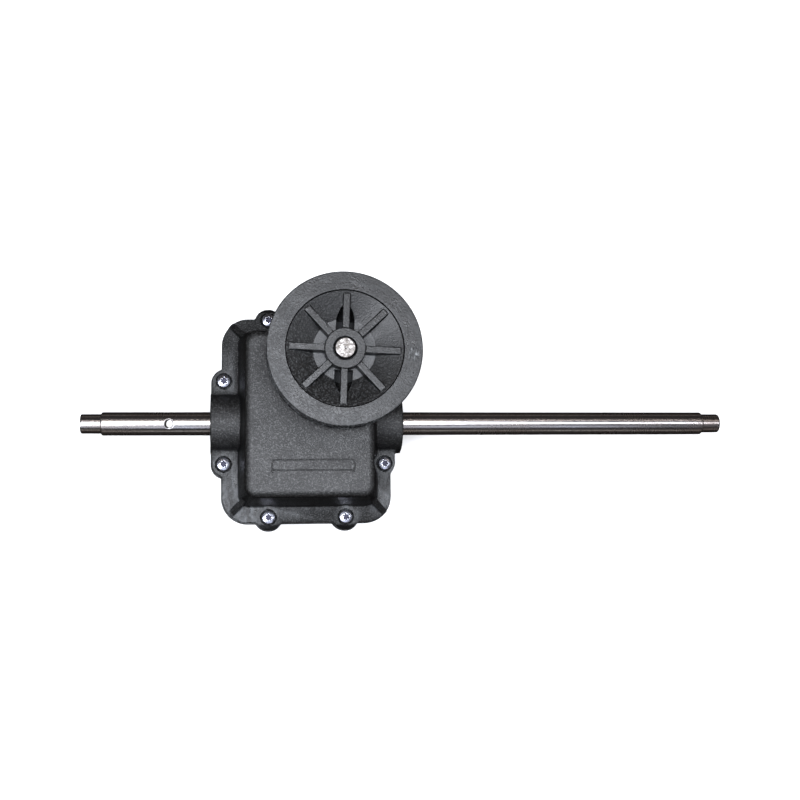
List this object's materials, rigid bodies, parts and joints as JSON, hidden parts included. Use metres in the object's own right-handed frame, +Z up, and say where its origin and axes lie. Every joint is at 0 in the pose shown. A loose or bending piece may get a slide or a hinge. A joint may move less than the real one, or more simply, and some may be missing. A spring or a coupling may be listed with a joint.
{
  "type": "worm-drive mower gearbox",
  "caption": "Split plastic gearbox with a spoked belt pulley on top that drives a long through axle by an enclosed worm and wheel.",
  "frame": {"origin": "centre of the flat base face of the lower casing, straight below the axle's axis", "axes": "+X along the axle towards its long end, +Z up along the input shaft to the pulley, +Y from the axle towards the input shaft"},
  "size_m": [0.3373, 0.124, 0.0873],
  "materials": {
    "casing_plastic": "black glass-filled nylon with a fine spark-eroded grain",
    "pulley_plastic": "black moulded nylon with turning scuffs on the rim",
    "screw_zinc": "bright zinc plate",
    "hardened_steel": "hardened and ground steel, lightly oiled",
    "ground_steel": "centreless-ground steel bar, bright with a faint warm tarnish",
    "bearing_cage": "pressed steel cage with polished balls",
    "bronze": "machined bronze",
    "seal_rubber": "black nitrile rubber",
    "gasket_fibre": "compressed fibre sheet"
  },
  "bodies": {
    "casing": {"lower_casing": "casing_plastic", "upper_cover": "casing_plastic", "gasket_front": "gasket_fibre", "gasket_rear": "gasket_fibre", "cover_screw_1": "screw_zinc", "cover_screw_2": "screw_zinc", "cover_screw_3": "screw_zinc", "cover_screw_4": "screw_zinc", "cover_screw_5": "screw_zinc", "cover_screw_6": "screw_zinc", "cover_screw_7": "screw_zinc", "cover_screw_8": "screw_zinc", "upper_bearing_outer_ring": "hardened_steel", "lower_bearing_outer_ring": "hardened_steel", "bearing_retaining_ring": "hardened_steel", "bearing_preload_washer": "hardened_steel", "input_shaft_seal": "seal_rubber", "axle_bush_left": "bronze", "axle_bush_right": "bronze", "axle_seal_left": "seal_rubber", "axle_seal_right": "seal_rubber", "thrust_washer_left": "hardened_steel", "thrust_washer_right": "hardened_steel"},
    "input_shaft": {"input_worm_shaft": "hardened_steel", "input_pulley": "pulley_plastic", "pulley_roll_pin": "hardened_steel", "input_spacer_sleeve": "hardened_steel", "upper_bearing_inner_ring": "hardened_steel", "lower_bearing_inner_ring": "hardened_steel"},
    "upper_cage": {"upper_bearing_ball_cage": "bearing_cage"},
    "lower_cage": {"lower_bearing_ball_cage": "bearing_cage"},
    "axle": {"drive_axle": "ground_steel", "worm_wheel": "bronze", "wheel_drive_pin": "hardened_steel", "axle_spacer_sleeve": "hardened_steel", "axle_clip_left": "hardened_steel", "axle_clip_right": "hardened_steel"}
  },
  "joints": [
    {"name": "axle_spin", "type": "hinge", "parent": "casing", "child": "axle", "pos_m": [0, 0, 0.033], "axis": [1, 0, 0], "continuous": true},
    {"name": "input_spin", "type": "hinge", "parent": "casing", "child": "input_shaft", "pos_m": [0.0162, 0.0307, 0.033], "axis": [0, 0, 1], "continuous": true},
    {"name": "upper_cage_spin", "type": "hinge", "parent": "casing", "child": "upper_cage", "pos_m": [0.0162, 0.0307, 0.059], "axis": [0, 0, 1], "continuous": true},
    {"name": "lower_cage_spin", "type": "hinge", "parent": "casing", "child": "lower_cage", "pos_m": [0.0162, 0.0307, 0.008], "axis": [0, 0, 1], "continuous": true}
  ],
  "couplings": [
    {"joint": "input_spin", "follows": "axle_spin", "ratio": -13},
    {"joint": "upper_cage_spin", "follows": "axle_spin", "ratio": -4.954},
    {"joint": "lower_cage_spin", "follows": "axle_spin", "ratio": -4.954}
  ]
}
